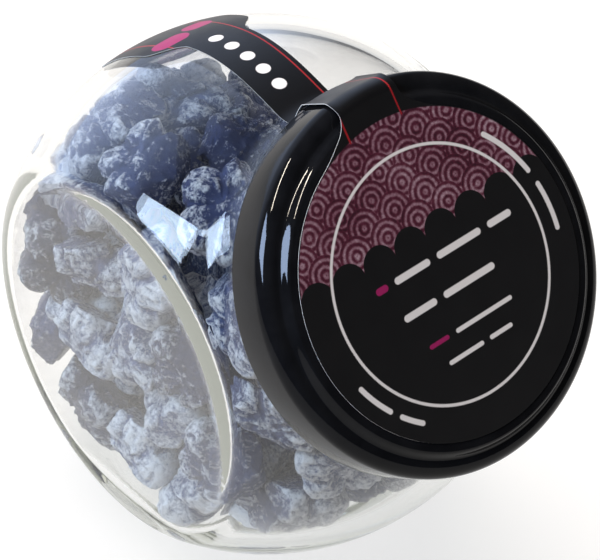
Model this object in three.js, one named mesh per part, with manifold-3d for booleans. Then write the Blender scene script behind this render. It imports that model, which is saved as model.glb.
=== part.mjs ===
// A shut candy jar: a ball of clear glass with two flat sides and a slanted mouth, a black twist-off lid,
// a one-piece paper seal from the lid over the crown, and a filling of flower-shaped hard candies.
// Millimetres, +Z up. The origin is the middle of the flat base, and the mouth faces -Y and upwards.

import * as THREE from 'three';
import { mergeVertices } from 'three/addons/utils/BufferGeometryUtils.js';
import Module from 'manifold-3d';

// Glass ball, its two flat sides and its flat base
const BALL_RADIUS = 47.5;
const SIDE_HALF = 34.2;
const SIDE_ROUND = 9;
const BASE_DROP = 41;

// Glass thickness, thicker at the base, and the rounding inside the flat sides' rims
const BALL_WALL = 3.5;
const SIDE_WALL = 3.6;
const BASE_WALL = 6.5;
const INNER_ROUND = 3;

// Mouth: its slope above the horizontal, the neck and the bore
const MOUTH_SLOPE = THREE.MathUtils.degToRad(33.4);
const NECK_RADIUS = 30;
const NECK_FILLET = 8;
const NECK_LIP = 1.2;
const BORE_RADIUS = 26.5;

// Lid: heights are measured along the mouth's axis from the ball's centre
const PANEL_HEIGHT = 55.2;
const PANEL_RADIUS = 28.6;
const STEP_WIDTH = 1.6;
const STEP_DROP = 1.3;
const LID_SHEET = 0.8;
const LID_RADIUS = 33.2;
const LID_SHOULDER = 2.4;
const SKIRT_DEPTH = 10.8;
const HEM_RADIUS = 0.7;

// Paper seal: a disc on the lid, a tongue over the rim, a strip on the crown and a pad behind it
const PAPER = 0.3;
const DISC_RADIUS = 27.3;
const SEAL_TURN = THREE.MathUtils.degToRad(4.3);
const STRIP_SHIFT = -1.2;
const PAD_SHIFT = -0.2;
const TONGUE_OVERLAP = 5;
const ROOT_RADIUS = 24.3;
const ROOT_HALF = 12;
const NOTCH_RADIUS = 30.5;
const NOTCH_HALF = 5.5;
const FOLD_REACH = 2.2;
const FOLD_DROP = 3.6;
const COLLAR_DROP = 5;
const COLLAR_HALF = 7.2;
const STRIP_HALF = 5.3;
const PAD_HALF = 10;
const TUCK_ANGLE = THREE.MathUtils.degToRad(200);
const TUCK_DROP = 17;
const STRIP_START = THREE.MathUtils.degToRad(43);
const PAD_START = THREE.MathUtils.degToRad(70);
const PAD_FULL = THREE.MathUtils.degToRad(79);
const PAD_END = THREE.MathUtils.degToRad(106);
const PAD_SKEW = THREE.MathUtils.degToRad(3.5);
const PAD_CORNER = THREE.MathUtils.degToRad(7);
const PAD_ROUND = 4;

// Candies: a five-petalled flower, how far it leans and how the heap fills the glass
const CANDY_RADIUS = 9.5;
const CANDY_THICK = 8.6;
const CANDY_PETALS = 5;
const CANDY_WAIST = 0.72;
const CANDY_SMALLEST = 0.9;
const CANDY_LARGEST = 1.06;
const CANDY_LEAN = THREE.MathUtils.degToRad(72);
const CANDY_SPACING = 12.4;
const CANDY_DEPTH = 6;
const CANDY_CLEARANCE = 0.9;
const CANDY_TRIES = 2000;
const CANDY_SEED = 20;
const FILL_LEVEL = 34;
const FILL_SLOPE = -0.45;
const MOUTH_FILL = 45;
const CORE_DEPTH = 7.5;

// Fits and fineness
const GAP = 0.3;
const BALL_SIDES = 44;
const INNER_SIDES = 36;
const ROUND_SIDES = 44;

const BALL_CENTRE = new THREE.Vector3(0, 0, BASE_DROP);
const MOUTH_AXIS = new THREE.Vector3(0, -Math.cos(MOUTH_SLOPE), Math.sin(MOUTH_SLOPE));
const MOUTH_TURN = Math.PI - MOUTH_SLOPE;
const RING_HEIGHT = PANEL_HEIGHT - STEP_DROP;
const RIM_HEIGHT = RING_HEIGHT - LID_SHEET - GAP;
const INNER_RADIUS = BALL_RADIUS - BALL_WALL;
const INNER_SIDE = SIDE_HALF - SIDE_WALL;

const wasm = await Module();
wasm.setup();

// Closed mesh with shared vertices and no collapsed triangles
function weld(geometry) {
  geometry.deleteAttribute('normal');
  geometry.deleteAttribute('uv');
  const welded = mergeVertices(geometry, 1e-3);
  const index = welded.index.array;
  const kept = [];
  for (let i = 0; i < index.length; i += 3) {
    const [a, b, c] = [index[i], index[i + 1], index[i + 2]];
    if (a !== b && b !== c && c !== a) kept.push(a, b, c);
  }
  welded.setIndex(kept);
  return welded;
}

function toSolid(geometry) {
  const welded = weld(geometry);
  return new wasm.Manifold(new wasm.Mesh({
    numProp: 3,
    vertProperties: new Float32Array(welded.attributes.position.array),
    triVerts: new Uint32Array(welded.index.array),
  }));
}

function toGeometry(solid) {
  const mesh = solid.getMesh();
  const geometry = new THREE.BufferGeometry();
  geometry.setAttribute('position', new THREE.BufferAttribute(mesh.vertProperties, 3));
  geometry.setIndex(new THREE.BufferAttribute(mesh.triVerts, 1));
  geometry.computeVertexNormals();
  return geometry;
}

// Points of a circular arc, both ends included
function arc(centreX, centreY, radius, from, to, steps) {
  return Array.from({ length: steps + 1 }, (_, i) => {
    const angle = from + (to - from) * i / steps;
    return new THREE.Vector2(centreX + radius * Math.cos(angle), centreY + radius * Math.sin(angle));
  });
}

const point = (radius, height) => new THREE.Vector2(radius, height);

// Ball with two flat sides across X and rounded rims, turned from half of its outline
function flatSidedBall(radius, sideHalf, round, arcSteps, ballSteps, sides) {
  const rimX = sideHalf - round;
  const rimRadius = Math.sqrt((radius - round) ** 2 - rimX ** 2);
  const rimAngle = Math.atan2(rimX, rimRadius);
  const profile = [
    point(0, -sideHalf),
    ...arc(rimRadius, -rimX, round, -Math.PI / 2, -rimAngle, arcSteps),
    ...arc(0, 0, radius, -rimAngle, rimAngle, ballSteps).slice(1, -1),
    ...arc(rimRadius, rimX, round, rimAngle, Math.PI / 2, arcSteps),
    point(0, sideHalf),
  ];
  const geometry = new THREE.LatheGeometry(profile, sides);
  geometry.rotateZ(-Math.PI / 2);
  geometry.translate(BALL_CENTRE.x, BALL_CENTRE.y, BALL_CENTRE.z);
  return toSolid(geometry);
}

// Solid turned about the mouth's axis
function aboutMouth(profile, sides) {
  const geometry = new THREE.LatheGeometry(profile, sides);
  geometry.rotateX(MOUTH_TURN);
  geometry.translate(BALL_CENTRE.x, BALL_CENTRE.y, BALL_CENTRE.z);
  return toSolid(geometry);
}

// Everything above a level
function above(level) {
  const size = 6 * BALL_RADIUS;
  const geometry = new THREE.BoxGeometry(size, size, size);
  geometry.translate(0, 0, level + size / 2);
  return toSolid(geometry);
}

// Centre of the concave fillet between the neck and the ball, and the angle at which it meets the ball
function neckFillet() {
  const radius = NECK_RADIUS + NECK_FILLET;
  const height = Math.sqrt((BALL_RADIUS + NECK_FILLET) ** 2 - radius ** 2);
  return { radius, height, foot: Math.PI + Math.atan2(height, radius) };
}

// Neck with its fillet, which runs down into the ball
function neckSolid() {
  const { radius, height, foot } = neckFillet();
  const stopShort = THREE.MathUtils.degToRad(12);
  const fillet = arc(radius, height, NECK_FILLET, foot - stopShort, Math.PI, 4);
  const slope = fillet[0].clone().sub(fillet[1]).normalize();
  const sunk = fillet[0].clone().addScaledVector(slope, NECK_FILLET / 2);
  return aboutMouth([
    point(0, sunk.y - NECK_FILLET),
    sunk,
    ...fillet,
    ...arc(NECK_RADIUS - NECK_LIP, RIM_HEIGHT - NECK_LIP, NECK_LIP, 0, Math.PI / 2, 3),
    point(0, RIM_HEIGHT),
  ], ROUND_SIDES);
}

// Space inside the glass, smaller all round by a clearance
function cavitySolid(clearance, sides) {
  const inside = flatSidedBall(INNER_RADIUS - clearance, INNER_SIDE - clearance, INNER_ROUND, 3, 8, sides);
  const bore = aboutMouth([
    point(0, 0),
    point(BORE_RADIUS - clearance, 0),
    point(BORE_RADIUS - clearance, RIM_HEIGHT + SKIRT_DEPTH),
    point(0, RIM_HEIGHT + SKIRT_DEPTH),
  ], sides);
  return inside.add(bore).intersect(above(BASE_WALL + clearance));
}

function makeJar() {
  const ball = flatSidedBall(BALL_RADIUS, SIDE_HALF, SIDE_ROUND, 3, 12, BALL_SIDES);
  const outside = ball.add(neckSolid()).intersect(above(0));
  return toGeometry(outside.subtract(cavitySolid(0, INNER_SIDES)));
}

// Lid's outer outline: the raised panel, a soft step down to the ring, and the shoulder
function lidTop() {
  return [
    point(PANEL_RADIUS, PANEL_HEIGHT),
    point(PANEL_RADIUS + STEP_WIDTH / 2, PANEL_HEIGHT - STEP_DROP / 2),
    point(PANEL_RADIUS + STEP_WIDTH, RING_HEIGHT),
    ...arc(LID_RADIUS - LID_SHOULDER, RING_HEIGHT - LID_SHOULDER, LID_SHOULDER, Math.PI / 2, 0, 5),
  ];
}

// Rolled hem at the foot of the skirt, flush with it outside
function lidHem() {
  return arc(LID_RADIUS - HEM_RADIUS, PANEL_HEIGHT - SKIRT_DEPTH + HEM_RADIUS, HEM_RADIUS, 0, -Math.PI, 4);
}

function makeLid() {
  const inside = LID_RADIUS - LID_SHEET;
  const under = RING_HEIGHT - LID_SHEET;
  const profile = [
    point(0, PANEL_HEIGHT),
    ...lidTop(),
    ...lidHem(),
    point(inside, PANEL_HEIGHT - SKIRT_DEPTH + 3 * HEM_RADIUS),
    point(inside, RING_HEIGHT - LID_SHOULDER),
    point(LID_RADIUS - LID_SHOULDER, under),
    point(PANEL_RADIUS + STEP_WIDTH - LID_SHEET / 2, under),
    point(PANEL_RADIUS - LID_SHEET / 2, PANEL_HEIGHT - LID_SHEET),
    point(0, PANEL_HEIGHT - LID_SHEET),
  ];
  return weld(new THREE.LatheGeometry(profile.reverse(), ROUND_SIDES));
}

// Direction of an outline at one of its points
function heading(outline, i) {
  const before = outline[Math.max(i - 1, 0)];
  const after = outline[Math.min(i + 1, outline.length - 1)];
  return after.clone().sub(before).normalize();
}

// Outline that the paper tongue follows: flat off the panel, folded down the skirt, tucked into the neck's
// fillet and laid along the glass
function tonguePath() {
  const outside = LID_RADIUS + GAP;
  const top = PANEL_HEIGHT + GAP;
  const fold = arc(0, 0, 1, Math.PI / 2, 0, 6).map(
    (p) => point(outside - FOLD_REACH * (1 - p.x), top - FOLD_DROP * (1 - p.y)),
  );
  const lifted = [
    point(DISC_RADIUS - TONGUE_OVERLAP, top),
    point(PANEL_RADIUS, top),
    ...fold,
    point(outside, PANEL_HEIGHT - SKIRT_DEPTH / 2),
    point(outside, PANEL_HEIGHT - SKIRT_DEPTH),
  ];
  const { radius, height, foot } = neckFillet();
  const tuck = arc(radius, height, NECK_FILLET - GAP, TUCK_ANGLE, foot, 4);
  const strip = arc(0, 0, BALL_RADIUS + GAP, foot - Math.PI, Math.PI / 2 - PAD_END, 18);
  return [...lifted, ...tuck, ...strip.slice(1)];
}

// Left and right edges of the paper at a place on the path
function tongueEdges(place) {
  const { smoothstep, clamp, lerp } = THREE.MathUtils;
  if (place.length() > BALL_RADIUS + 2 * GAP) {
    const notch = lerp(ROOT_HALF, NOTCH_HALF, smoothstep(place.x, ROOT_RADIUS, NOTCH_RADIUS));
    const drop = PANEL_HEIGHT - place.y;
    const collar = lerp(0, COLLAR_HALF - NOTCH_HALF, smoothstep(drop, 0, COLLAR_DROP));
    const tuckedIn = smoothstep(drop, SKIRT_DEPTH, TUCK_DROP);
    const half = lerp(notch + collar, STRIP_HALF, tuckedIn);
    const lidShift = lerp(-place.x * Math.tan(SEAL_TURN), STRIP_SHIFT, tuckedIn);
    return [lidShift - half, lidShift + half];
  }
  const angle = Math.atan2(place.x, place.y);
  const shift = lerp(STRIP_SHIFT, PAD_SHIFT, smoothstep(angle, STRIP_START, PAD_START));
  const corner = clamp(1 - (PAD_END - angle) / PAD_CORNER, 0, 1);
  const rounding = PAD_ROUND * (1 - Math.sqrt(1 - corner ** 2));
  const reach = (along) => lerp(STRIP_HALF, PAD_HALF, smoothstep(along, PAD_START, PAD_FULL)) - rounding;
  return [shift - reach(angle - PAD_SKEW), shift + reach(angle)];
}

// Thin closed sheet along the path, curved round the mouth's axis as the lid and the ball are
function tongueSolid() {
  const path = tonguePath();
  const columns = 8;
  const positions = [];
  const triangles = [];
  path.forEach((place, row) => {
    const along = heading(path, row);
    const [left, right] = tongueEdges(place);
    for (const thickness of [0, PAPER]) {
      const radius = place.x - along.y * thickness;
      const height = place.y + along.x * thickness;
      for (let column = 0; column <= columns; column += 1) {
        const across = left + (right - left) * column / columns;
        positions.push(across, height, -Math.sqrt(radius ** 2 - across ** 2));
      }
    }
  });
  const width = columns + 1;
  const at = (row, layer, column) => (row * 2 + layer) * width + column;
  const quad = (a, b, c, d) => triangles.push(a, b, c, a, c, d);
  const last = path.length - 1;
  for (let row = 0; row < last; row += 1) {
    for (let column = 0; column < columns; column += 1) {
      quad(at(row, 1, column), at(row, 1, column + 1), at(row + 1, 1, column + 1), at(row + 1, 1, column));
      quad(at(row, 0, column), at(row + 1, 0, column), at(row + 1, 0, column + 1), at(row, 0, column + 1));
    }
    quad(at(row, 0, 0), at(row, 1, 0), at(row + 1, 1, 0), at(row + 1, 0, 0));
    quad(at(row, 1, columns), at(row, 0, columns), at(row + 1, 0, columns), at(row + 1, 1, columns));
  }
  for (let column = 0; column < columns; column += 1) {
    quad(at(0, 0, column), at(0, 0, column + 1), at(0, 1, column + 1), at(0, 1, column));
    quad(at(last, 1, column), at(last, 1, column + 1), at(last, 0, column + 1), at(last, 0, column));
  }
  const geometry = new THREE.BufferGeometry();
  geometry.setAttribute('position', new THREE.Float32BufferAttribute(positions, 3));
  geometry.setIndex(triangles);
  return toSolid(geometry);
}

function makeSeal() {
  const disc = new THREE.CylinderGeometry(DISC_RADIUS, DISC_RADIUS, PAPER, ROUND_SIDES);
  disc.translate(0, PANEL_HEIGHT + GAP + PAPER / 2, 0);
  return toGeometry(toSolid(disc).add(tongueSolid()));
}

// Distance inside two walls that meet in a rounded corner
function roundedMin(first, second, round) {
  const corner = Math.hypot(Math.max(round - first, 0), Math.max(round - second, 0));
  return Math.max(round, Math.min(first, second)) - corner;
}

// Depth of a place below the glass, the sloping top of the heap and the lid
function heapDepth(place) {
  const arm = place.clone().sub(BALL_CENTRE);
  const height = arm.dot(MOUTH_AXIS);
  const fromAxis = Math.sqrt(Math.max(arm.lengthSq() - height ** 2, 0));
  const ball = roundedMin(INNER_RADIUS - arm.length(), INNER_SIDE - Math.abs(arm.x), INNER_ROUND);
  const inside = Math.max(ball, Math.min(BORE_RADIUS - fromAxis, height));
  const fill = (FILL_LEVEL + FILL_SLOPE * arm.x - arm.z) / Math.hypot(1, FILL_SLOPE);
  return Math.min(inside, place.z - BASE_WALL, fill, MOUTH_FILL - height);
}

function heapInward(place) {
  const step = 0.05;
  const slope = ['x', 'y', 'z'].map((axis) => {
    const ahead = place.clone();
    const behind = place.clone();
    ahead[axis] += step;
    behind[axis] -= step;
    return heapDepth(ahead) - heapDepth(behind);
  });
  return new THREE.Vector3(...slope).normalize();
}

// Repeatable random numbers from 0 to 1
function makeRandom(seed) {
  let state = seed;
  return () => {
    state = (state * 1664525 + 1013904223) % 4294967296;
    return state / 4294967296;
  };
}

// Places of the candies that show: thrown at the heap's outside, kept where no other lies too close
function candyPlaces() {
  const random = makeRandom(CANDY_SEED);
  const places = [];
  for (let attempt = 0; attempt < CANDY_TRIES; attempt += 1) {
    const turn = 2 * Math.PI * random();
    const rise = 2 * random() - 1;
    const lean = random();
    const leanTurn = 2 * Math.PI * random();
    const spin = 2 * Math.PI * random();
    const size = THREE.MathUtils.lerp(CANDY_SMALLEST, CANDY_LARGEST, random());
    const flat = Math.sqrt(1 - rise ** 2);
    const direction = new THREE.Vector3(flat * Math.cos(turn), flat * Math.sin(turn), rise);
    let near = 0;
    let far = 2 * BALL_RADIUS;
    for (let halving = 0; halving < 30; halving += 1) {
      const middle = (near + far) / 2;
      const tested = BALL_CENTRE.clone().addScaledVector(direction, middle);
      if (heapDepth(tested) > CANDY_DEPTH) near = middle;
      else far = middle;
    }
    const centre = BALL_CENTRE.clone().addScaledVector(direction, near);
    if (places.every((other) => other.centre.distanceTo(centre) > CANDY_SPACING)) {
      const inward = heapInward(centre);
      const side = new THREE.Vector3(inward.y, inward.z, inward.x).cross(inward).normalize();
      side.applyAxisAngle(inward, leanTurn);
      const axis = inward.clone().applyAxisAngle(side, CANDY_LEAN * lean ** 2);
      const across = side.applyAxisAngle(axis, spin);
      places.push({ centre, inward, axis, across, size });
    }
  }
  return places;
}

// Outline of a candy: round petals with a waist between each two
function flowerShape() {
  const sides = CANDY_PETALS * 3;
  return new THREE.Shape(Array.from({ length: sides }, (_, i) => {
    const angle = 2 * Math.PI * i / sides;
    const reach = CANDY_RADIUS * (i % 3 === 0 ? CANDY_WAIST : 1);
    return new THREE.Vector2(reach * Math.cos(angle), reach * Math.sin(angle));
  }));
}

// One candy at its place, pushed inwards until it is clear of the glass
function candySolid({ centre, inward, axis, across, size }) {
  const geometry = new THREE.ExtrudeGeometry(flowerShape(), { depth: CANDY_THICK, bevelEnabled: false });
  geometry.translate(0, 0, -CANDY_THICK / 2);
  geometry.scale(size, size, size);
  geometry.applyMatrix4(new THREE.Matrix4().makeBasis(across, axis.clone().cross(across), axis));
  const corners = geometry.attributes.position;
  const spot = centre.clone();
  const corner = new THREE.Vector3();
  for (let push = 0; push < 6; push += 1) {
    let least = Infinity;
    for (let i = 0; i < corners.count; i += 1) {
      least = Math.min(least, heapDepth(corner.fromBufferAttribute(corners, i).add(spot)));
    }
    spot.addScaledVector(inward, Math.max(CANDY_CLEARANCE - least, 0));
  }
  geometry.translate(spot.x, spot.y, spot.z);
  return toSolid(geometry);
}

// Core of the heap under a sloping top, with the showing candies fused on
function makeHeap() {
  const size = 6 * BALL_RADIUS;
  const top = new THREE.BoxGeometry(size, size, size);
  top.translate(0, 0, -size / 2);
  top.rotateY(-Math.atan(FILL_SLOPE));
  top.translate(0, 0, BASE_DROP + FILL_LEVEL - CORE_DEPTH);
  const ball = flatSidedBall(INNER_RADIUS - CORE_DEPTH, INNER_SIDE - CORE_DEPTH, INNER_ROUND, 2, 6, 24);
  const core = ball.intersect(above(BASE_WALL + CORE_DEPTH)).intersect(toSolid(top));
  const heap = candyPlaces().map(candySolid).reduce((joined, candy) => joined.add(candy), core);
  const pieces = heap.intersect(cavitySolid(GAP, INNER_SIDES)).decompose();
  return toGeometry(pieces.sort((a, b) => b.volume() - a.volume())[0]);
}

function piece(name, geometry, material) {
  const mesh = new THREE.Mesh(geometry, material);
  mesh.name = name;
  return mesh;
}

const glass = new THREE.MeshStandardMaterial({
  color: 0xeef3f1, roughness: 0.03, metalness: 0, transparent: true, opacity: 0.25,
});
const blackPaint = new THREE.MeshStandardMaterial({ color: 0x0b0b0c, roughness: 0.16, metalness: 0 });
const printedPaper = new THREE.MeshStandardMaterial({ color: 0x171416, roughness: 0.5, metalness: 0 });
const violetSugar = new THREE.MeshStandardMaterial({ color: 0x4a5580, roughness: 0.45, metalness: 0 });

const mouth = new THREE.Group();
mouth.position.copy(BALL_CENTRE);
mouth.rotation.x = MOUTH_TURN;
mouth.add(piece('lid', makeLid(), blackPaint));
mouth.add(piece('paper_seal', makeSeal(), printedPaper));

const candyJar = new THREE.Group();
candyJar.add(piece('glass_jar', makeJar(), glass));
candyJar.add(piece('candy_heap', makeHeap(), violetSugar));
candyJar.add(mouth);

export default candyJar;
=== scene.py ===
# %% [markdown]
# # A shut jar of violet candies
# This lesson dresses a small glass jar that is full of hard candies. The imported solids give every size
# and place. Each cell after this one makes one piece or one finish over them: the glass, the lid, the
# paper seal, the candies, and last the floor, the light and the camera.

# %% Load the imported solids
import math
import bpy
import numpy as np
from mathutils import Matrix, Vector


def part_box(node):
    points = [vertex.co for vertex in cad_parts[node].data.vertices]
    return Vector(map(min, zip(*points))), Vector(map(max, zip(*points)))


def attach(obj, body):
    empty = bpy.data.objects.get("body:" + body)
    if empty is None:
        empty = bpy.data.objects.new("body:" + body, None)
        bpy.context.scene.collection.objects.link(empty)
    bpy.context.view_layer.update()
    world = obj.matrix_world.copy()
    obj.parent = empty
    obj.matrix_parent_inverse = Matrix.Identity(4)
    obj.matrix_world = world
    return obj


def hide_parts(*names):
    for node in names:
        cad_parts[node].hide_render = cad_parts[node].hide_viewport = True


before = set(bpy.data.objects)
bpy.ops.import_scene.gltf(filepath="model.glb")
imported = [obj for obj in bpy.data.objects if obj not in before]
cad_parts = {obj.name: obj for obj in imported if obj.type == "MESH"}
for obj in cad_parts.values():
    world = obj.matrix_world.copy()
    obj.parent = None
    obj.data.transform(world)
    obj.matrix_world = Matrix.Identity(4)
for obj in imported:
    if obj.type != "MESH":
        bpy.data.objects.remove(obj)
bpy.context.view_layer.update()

_, jar_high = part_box("glass_jar")

# %% [markdown]
# ## Sizes that the pieces share
# The jar is a ball of glass with two flat sides. Its mouth, neck, lid and seal are all round about one
# slanted axis through the middle of the ball, so nearly every place below is a distance from that axis
# and a height along it. The ball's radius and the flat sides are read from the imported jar, and the rest
# are the same named sizes that the solids were drawn with.

# %% Shared sizes, in metres
MM = 0.001
BALL_RADIUS = jar_high.y
SIDE_HALF = jar_high.x
BASE_DROP = 41 * MM
MOUTH_SLOPE = math.radians(33.4)
PANEL_HEIGHT = 55.2 * MM
STEP_DROP = 1.3 * MM
LID_SHEET = 0.8 * MM
LID_GAP = 0.3 * MM
RING_HEIGHT = PANEL_HEIGHT - STEP_DROP
RIM_HEIGHT = RING_HEIGHT - LID_SHEET - LID_GAP
CENTRE = np.array([0.0, 0.0, BASE_DROP])
ACROSS = np.array([1.0, 0.0, 0.0])
MOUTH = np.array([0.0, -math.cos(MOUTH_SLOPE), math.sin(MOUTH_SLOPE)])
UPHILL = np.cross(MOUTH, ACROSS)
print("ball radius", round(BALL_RADIUS, 4), "half width", round(SIDE_HALF, 4), "mouth axis", MOUTH.round(3))

# %% Small helpers for working by operators
def leave_all():
    """Object mode with nothing selected, so that the next operator acts on its own piece alone."""
    if bpy.context.object and bpy.context.object.mode != "OBJECT":
        bpy.ops.object.mode_set(mode="OBJECT")
    bpy.ops.object.select_all(action="DESELECT")


def work_on(piece):
    leave_all()
    piece.select_set(True)
    bpy.context.view_layer.objects.active = piece


def edit_all():
    """Edit mode with the whole of the active piece selected."""
    bpy.ops.object.mode_set(mode="EDIT")
    bpy.ops.mesh.select_all(action="SELECT")


def edit_done():
    bpy.ops.object.mode_set(mode="OBJECT")


def points_of(piece):
    flat = np.empty(len(piece.data.vertices) * 3)
    piece.data.vertices.foreach_get("co", flat)
    return flat.reshape(-1, 3)


def set_points(piece, points):
    piece.data.vertices.foreach_set("co", np.asarray(points, float).ravel())
    piece.data.update()


def apply_modifier(piece, kind, **settings):
    work_on(piece)
    modifier = piece.modifiers.new(kind.title(), kind)
    for name, value in settings.items():
        setattr(modifier, name, value)
    bpy.ops.object.modifier_apply(modifier=modifier.name)


def tell(piece):
    piece.data.calc_loop_triangles()
    print(piece.name, "triangles", len(piece.data.loop_triangles))


def by_mouth(radius, height):
    """A place in the jar's middle plane: so far uphill from the mouth's axis, and so high along it."""
    return CENTRE + radius * UPHILL + height * MOUTH

# %% [markdown]
# ## The glass
# Pressed glass is one smooth skin outside and another inside, and light bends at both, so even a slight
# facet would show. Cutting and joining solids leaves slivers where the neck flows into the ball. So each
# skin starts as a fine globe whose pole is the mouth's axis, with extra cuts where the flat sides' rims
# will be, and every point is slid along its ray from the ball's centre until it meets the true surface. A
# bisect opens each skin at the mouth, and the two open edges are bridged into a lip.

# %% Where the glass is, as distances
BALL_WALL = 3.5 * MM
SIDE_WALL = 3.6 * MM
BASE_WALL = 6.5 * MM
SIDE_ROUND = 9 * MM
INNER_ROUND = 3 * MM
BASE_ROUND = 2.5 * MM
INNER_BASE_ROUND = 7 * MM
NECK_RADIUS = 30 * MM
NECK_FILLET = 8 * MM
BORE_RADIUS = 26.5 * MM
BORE_BLEND = 4 * MM


def rounded_least(first, second, round_by):
    """The lesser of two distances, rounded where they are alike. Distances are negative inside the glass,
    so this joins two bodies with a hollow fillet."""
    corner = np.hypot(np.maximum(round_by - first, 0), np.maximum(round_by - second, 0))
    return np.maximum(np.minimum(first, second), round_by) - corner


def rounded_most(first, second, round_by):
    """The greater of two distances, rounded in the same way, which keeps what is inside both walls."""
    return -rounded_least(-first, -second, round_by)


def flat_sided_ball(arms, radius, side, round_by):
    """Distance from a ball with two flat sides whose rims are rounded, for places given from its centre."""
    core_radius = radius - round_by
    core_side = side - round_by
    rim_radius = math.sqrt(core_radius**2 - core_side**2)
    along = np.abs(arms[:, 0])
    out = np.hypot(arms[:, 1], arms[:, 2])
    skin = np.maximum(np.hypot(along, out) - core_radius, along - core_side)
    at_rim = (out > rim_radius) & (along * rim_radius > out * core_side) & (skin > 0)
    return np.where(at_rim, np.hypot(along - core_side, out - rim_radius), skin) - round_by


FILLET_RADIUS = NECK_RADIUS + NECK_FILLET
FILLET_HEIGHT = math.sqrt((BALL_RADIUS + NECK_FILLET) ** 2 - FILLET_RADIUS**2)
FILLET_FOOT = math.atan2(FILLET_HEIGHT, FILLET_RADIUS)


def outer_skin(arms):
    height = arms @ MOUTH
    out = np.sqrt(np.maximum((arms**2).sum(1) - height**2, 0))
    ball = flat_sided_ball(arms, BALL_RADIUS, SIDE_HALF, SIDE_ROUND)
    ball = rounded_most(ball, -arms[:, 2] - BASE_DROP, BASE_ROUND)
    neck = np.maximum(out - NECK_RADIUS, -height)
    around = np.arctan2(height - FILLET_HEIGHT, out - FILLET_RADIUS) + math.pi
    fillet = NECK_FILLET - np.hypot(height - FILLET_HEIGHT, out - FILLET_RADIUS)
    return np.where(around < FILLET_FOOT, fillet, np.minimum(ball, neck))


def inner_skin(arms):
    height = arms @ MOUTH
    out = np.sqrt(np.maximum((arms**2).sum(1) - height**2, 0))
    ball = flat_sided_ball(arms, BALL_RADIUS - BALL_WALL, SIDE_HALF - SIDE_WALL, INNER_ROUND)
    ball = rounded_most(ball, BASE_WALL - BASE_DROP - arms[:, 2], INNER_BASE_ROUND)
    return rounded_least(ball, np.maximum(out - BORE_RADIUS, -height), BORE_BLEND)

# %% Model one skin from a globe
HALVINGS = 40
RIM_CUTS = 12


def slide_out(directions, farthest, is_inside):
    """The place where each ray from the ball's centre leaves the inside, found by halving its length."""
    near = np.zeros(len(directions))
    far = np.full(len(directions), farthest)
    for _ in range(HALVINGS):
        middle = (near + far) / 2
        within = is_inside(directions * middle[:, None])
        near = np.where(within, middle, near)
        far = np.where(within, far, middle)
    return directions * near[:, None]


def rim_cuts(radius, side, round_by):
    """Where to cut a globe of radius one across X, so that its edges run along the rim of a flat side."""
    rim = math.sqrt((radius - round_by) ** 2 - (side - round_by) ** 2)
    return np.cos(np.linspace(math.atan2(rim, side), math.atan2(rim, side - round_by), RIM_CUTS))


def model_skin(name, skin, segments, rings, cuts):
    leave_all()
    turn = Vector((0, 0, 1)).rotation_difference(Vector(MOUTH)).to_euler()
    bpy.ops.mesh.primitive_uv_sphere_add(segments=segments, ring_count=rings, radius=1, rotation=turn)
    piece = bpy.context.object
    piece.name = name
    bpy.ops.object.transform_apply(location=False, rotation=True, scale=False)
    bpy.ops.object.mode_set(mode="EDIT")
    for cut in (*cuts, *-cuts):
        bpy.ops.mesh.select_all(action="SELECT")
        bpy.ops.mesh.bisect(plane_co=(cut, 0, 0), plane_no=(1, 0, 0))
    edit_done()
    directions = points_of(piece)
    directions /= np.linalg.norm(directions, axis=1)[:, None]
    places = slide_out(directions, 2 * BALL_RADIUS, lambda arms: skin(arms) < 0)
    set_points(piece, places + CENTRE)
    edit_all()
    bpy.ops.mesh.bisect(plane_co=by_mouth(0, RIM_HEIGHT), plane_no=MOUTH, clear_outer=True)
    edit_done()
    return piece


SEGMENTS = 240
OUTER_RINGS = 150
INNER_RINGS = 110
outer_cuts = rim_cuts(BALL_RADIUS, SIDE_HALF, SIDE_ROUND)
inner_cuts = rim_cuts(BALL_RADIUS - BALL_WALL, SIDE_HALF - SIDE_WALL, INNER_ROUND)
outside = model_skin("glass", outer_skin, SEGMENTS, OUTER_RINGS, outer_cuts)
inside = model_skin("glass_inside", inner_skin, SEGMENTS, INNER_RINGS, inner_cuts)
tell(outside)
tell(inside)

# %% Bridge the two rims into one wall of glass
LIP_ANGLE = math.radians(50)


def turn_inside_out(piece):
    work_on(piece)
    edit_all()
    bpy.ops.mesh.flip_normals()
    edit_done()


turn_inside_out(inside)
work_on(inside)
outside.select_set(True)
bpy.context.view_layer.objects.active = outside
bpy.ops.object.join()
glass = bpy.context.object
bpy.ops.object.mode_set(mode="EDIT")
bpy.ops.mesh.select_all(action="DESELECT")
only_open_edges = dict(use_wire=False, use_multi_face=False, use_non_contiguous=False)
bpy.ops.mesh.select_non_manifold(extend=False, **only_open_edges)
bpy.ops.mesh.bridge_edge_loops()
edit_done()
bpy.ops.object.shade_smooth_by_angle(angle=LIP_ANGLE)
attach(glass, "root")
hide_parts("glass_jar")
tell(glass)

# %% [markdown]
# ## The lid
# A twist-off lid is thin tinplate: a raised panel, a soft step down to a ring, a wide rounded shoulder, a
# straight skirt and a hem rolled inwards at its foot. It is round about the mouth's axis, so its outline
# is drawn once as a line, one extruded point after another, and spun all the way round.

# %% Draw a line and spin it about the mouth's axis
SPIN_STEPS = 144


def arc(centre_radius, centre_height, radius, start, stop, steps):
    angles = np.radians(np.linspace(start, stop, steps + 1))
    return [(centre_radius + radius * math.cos(a), centre_height + radius * math.sin(a)) for a in angles]


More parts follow.
